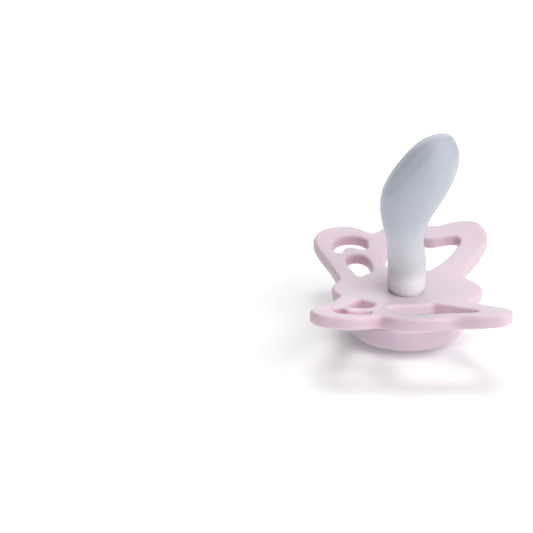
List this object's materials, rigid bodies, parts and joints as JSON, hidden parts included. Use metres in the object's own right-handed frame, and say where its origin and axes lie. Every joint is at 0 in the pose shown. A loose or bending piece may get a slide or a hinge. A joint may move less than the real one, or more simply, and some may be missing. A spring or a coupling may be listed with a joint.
{
  "type": "pacifier",
  "caption": "Pacifier with a butterfly-shaped bent shield with six openings, a hollow angled silicone teat and a domed button that snaps into the shield's boss.",
  "frame": {"origin": "crown of the button, on the teat's axis: the point the pacifier rests on when it lies teat up", "axes": "+Z along the teat's neck, away from the button; X from wing to wing; +Y to the upper side of the butterfly, the way the bulb leans"},
  "size_m": [0.0604, 0.0394, 0.0446],
  "materials": {
    "shield_plastic": "satin, pale pink moulded polypropylene",
    "button_plastic": "satin, pale pink moulded polypropylene",
    "plug_plastic": "satin, pale pink moulded polypropylene",
    "silicone": "smooth, milky translucent silicone"
  },
  "bodies": {
    "root": {"shield": "shield_plastic", "button": "button_plastic", "retainer_plug": "plug_plastic", "teat_neck": "silicone"},
    "teat": {"teat_bulb": "silicone"}
  },
  "joints": [
    {"name": "teat_flex", "type": "hinge", "parent": "root", "child": "teat", "pos_m": [0, 0, 0.0196], "axis": [1, 0, 0], "range_deg": [-20, 20], "stiffness_Nm_per_rad": 0.15}
  ]
}
